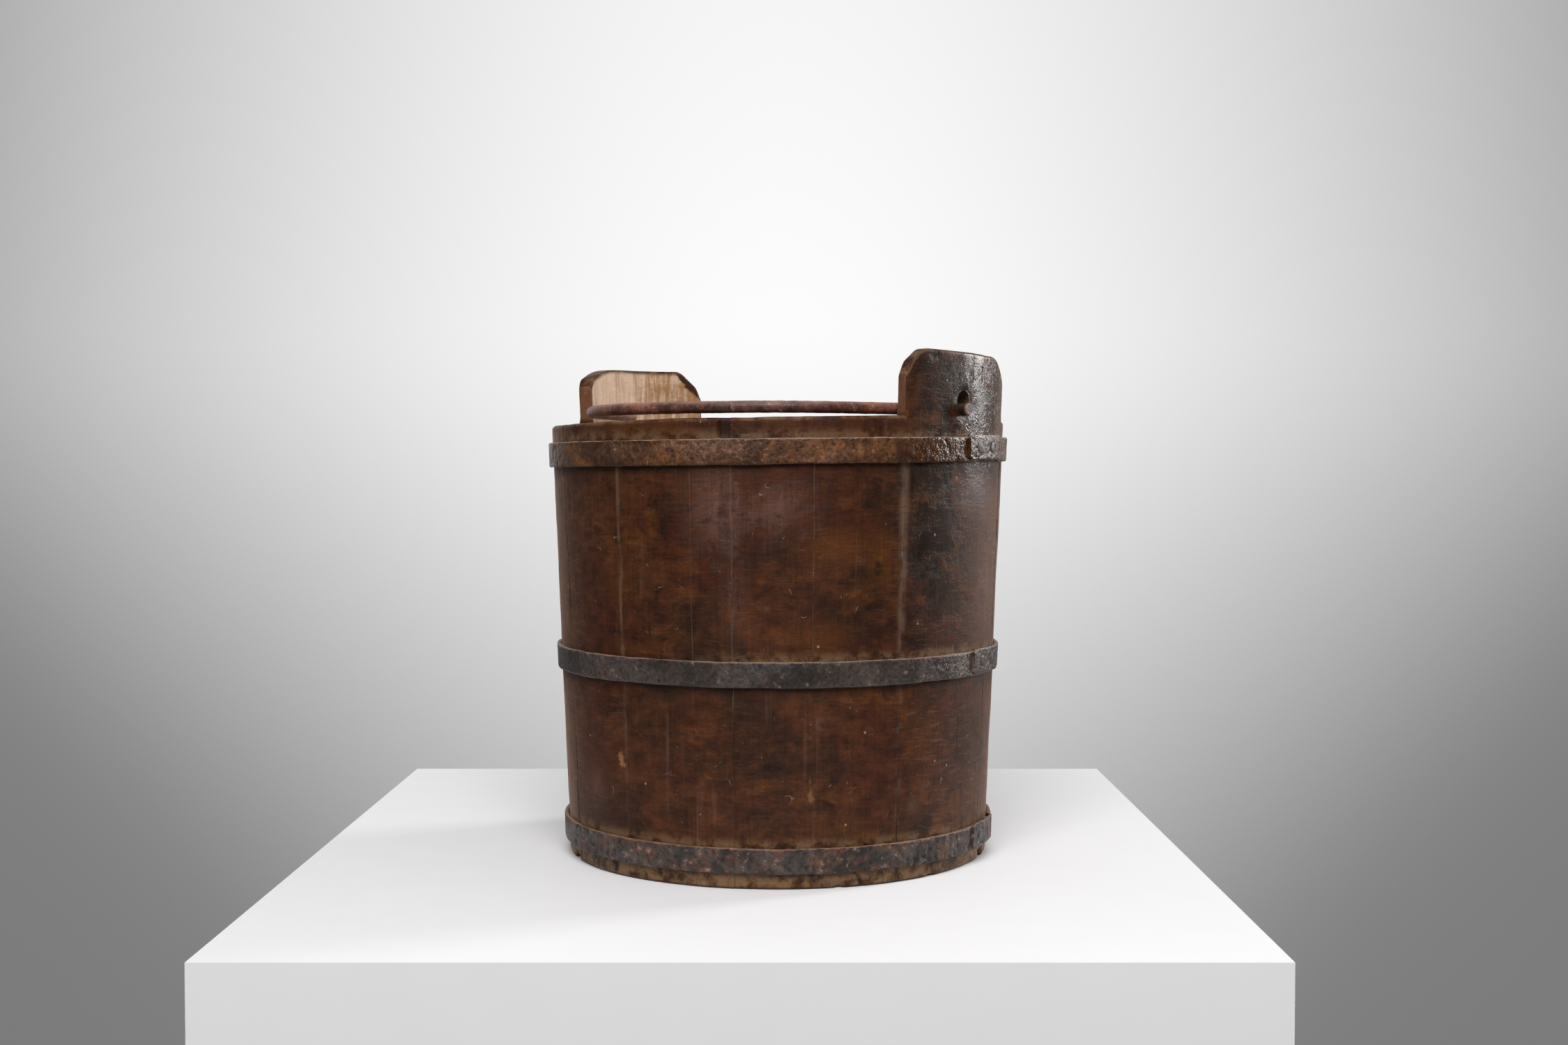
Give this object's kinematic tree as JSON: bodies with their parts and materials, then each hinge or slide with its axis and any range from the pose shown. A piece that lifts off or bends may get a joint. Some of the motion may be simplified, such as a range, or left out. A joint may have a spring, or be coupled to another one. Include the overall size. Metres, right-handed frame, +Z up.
{
  "type": "coopered bucket",
  "caption": "Coopered wooden bucket: tapered staves bound by riveted iron hoops, a boarded bottom, and a swinging iron rod bail held in the ears.",
  "frame": {"origin": "centre of the bucket's foot, on the floor", "axes": "+Z up the bucket's axis; the ears are on +X and -X; the bail rests towards -Y"},
  "size_m": [0.3364, 0.3314, 0.355],
  "materials": {
    "varnished_wood": "aged dark varnish over wood, worn, satin",
    "bare_wood": "bare dry wood",
    "hoop_iron": "blackened iron with rust and old varnish",
    "bail_iron": "rusted forged iron"
  },
  "bodies": {
    "bucket": {"stave_front_1": "varnished_wood", "stave_front_2": "varnished_wood", "stave_front_3": "varnished_wood", "stave_front_4": "varnished_wood", "stave_front_5": "varnished_wood", "stave_front_6": "varnished_wood", "stave_front_7": "varnished_wood", "stave_back_1": "varnished_wood", "stave_back_2": "varnished_wood", "stave_back_3": "varnished_wood", "stave_back_4": "varnished_wood", "stave_back_5": "varnished_wood", "stave_back_6": "varnished_wood", "ear_stave_right": "varnished_wood", "ear_stave_left": "varnished_wood", "bottom_board_front": "bare_wood", "bottom_board_middle": "bare_wood", "bottom_board_back": "bare_wood", "bottom_dowels": "bare_wood", "hoop_top": "hoop_iron", "hoop_middle": "hoop_iron", "hoop_bottom": "hoop_iron", "hoop_rivets": "hoop_iron"},
    "bail": {"bail": "bail_iron"}
  },
  "joints": [
    {"name": "bail_swing", "type": "hinge", "parent": "bucket", "child": "bail", "pos_m": [0, 0, 0.3149], "axis": [-1, 0, 0], "range_deg": [0, 180]}
  ]
}
